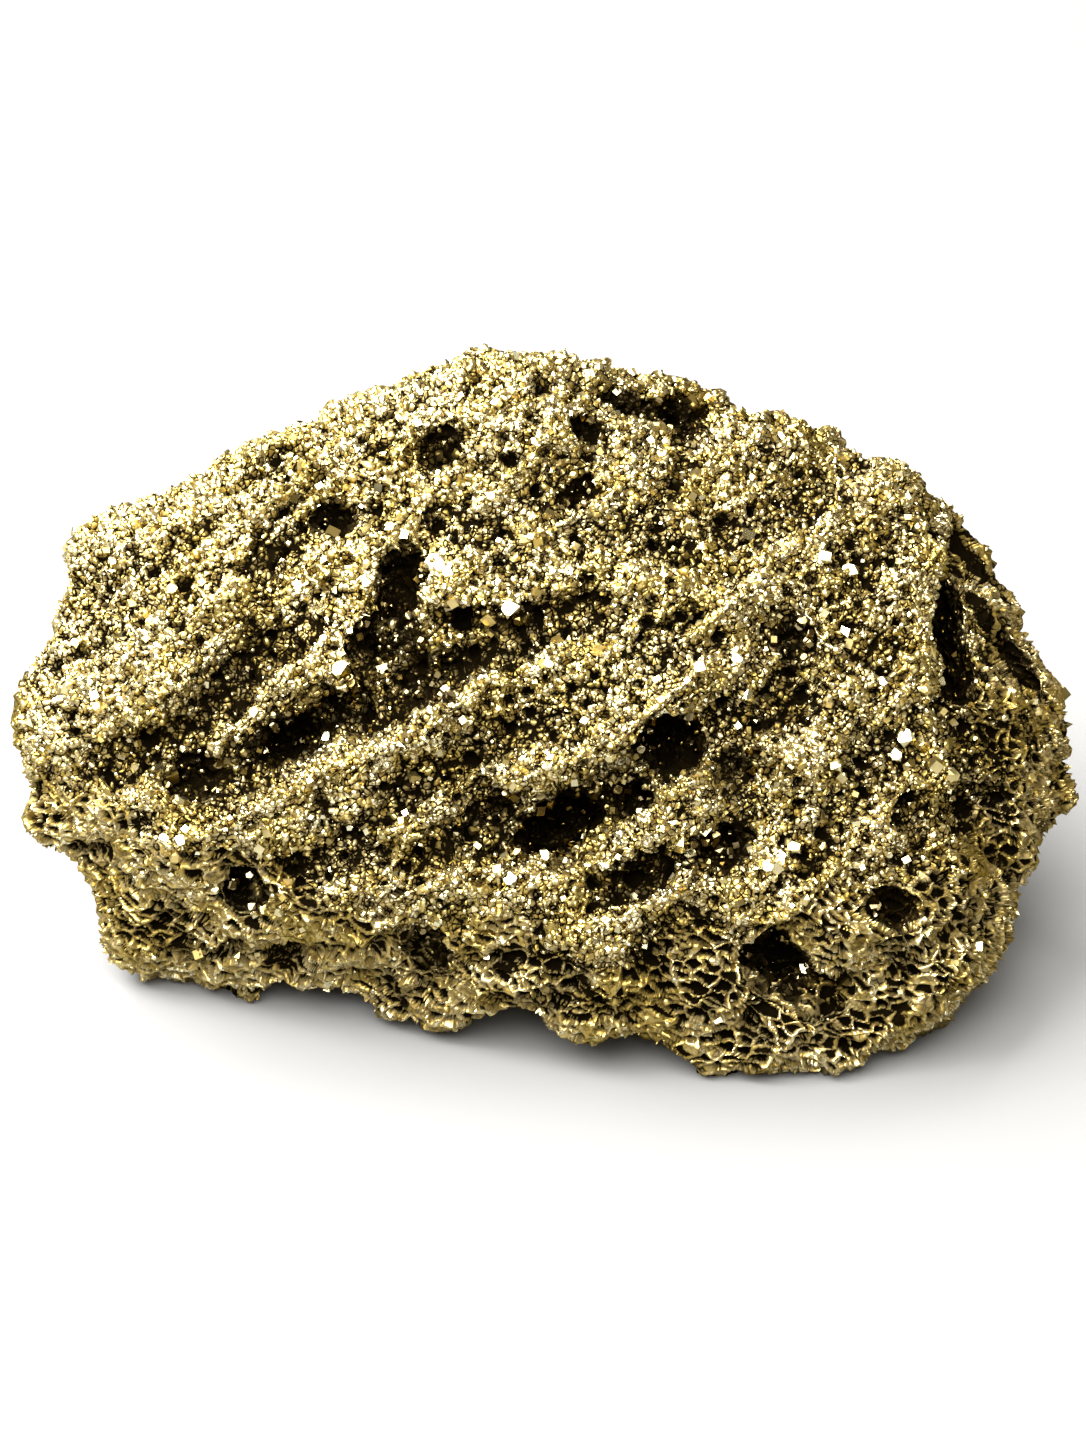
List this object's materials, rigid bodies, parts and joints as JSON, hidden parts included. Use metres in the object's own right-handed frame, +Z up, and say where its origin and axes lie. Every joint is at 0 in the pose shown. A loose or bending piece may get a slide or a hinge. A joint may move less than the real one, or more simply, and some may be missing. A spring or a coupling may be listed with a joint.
{
  "type": "pyrite specimen",
  "caption": "Hand-sized lump of massive granular pyrite, pitted with crystal-lined vugs, resting on a flat broken underside.",
  "frame": {"origin": "centre of the bounding box, on the ground under the lump", "axes": "+X along the lump's length, -Y towards the face that is shown, +Z up"},
  "size_m": [0.0968, 0.0594, 0.0525],
  "materials": {
    "pyrite": "granular pyrite, pale brass yellow, metallic lustre on each crystal face"
  },
  "bodies": {
    "root": {"pyrite_lump": "pyrite"}
  },
  "joints": []
}
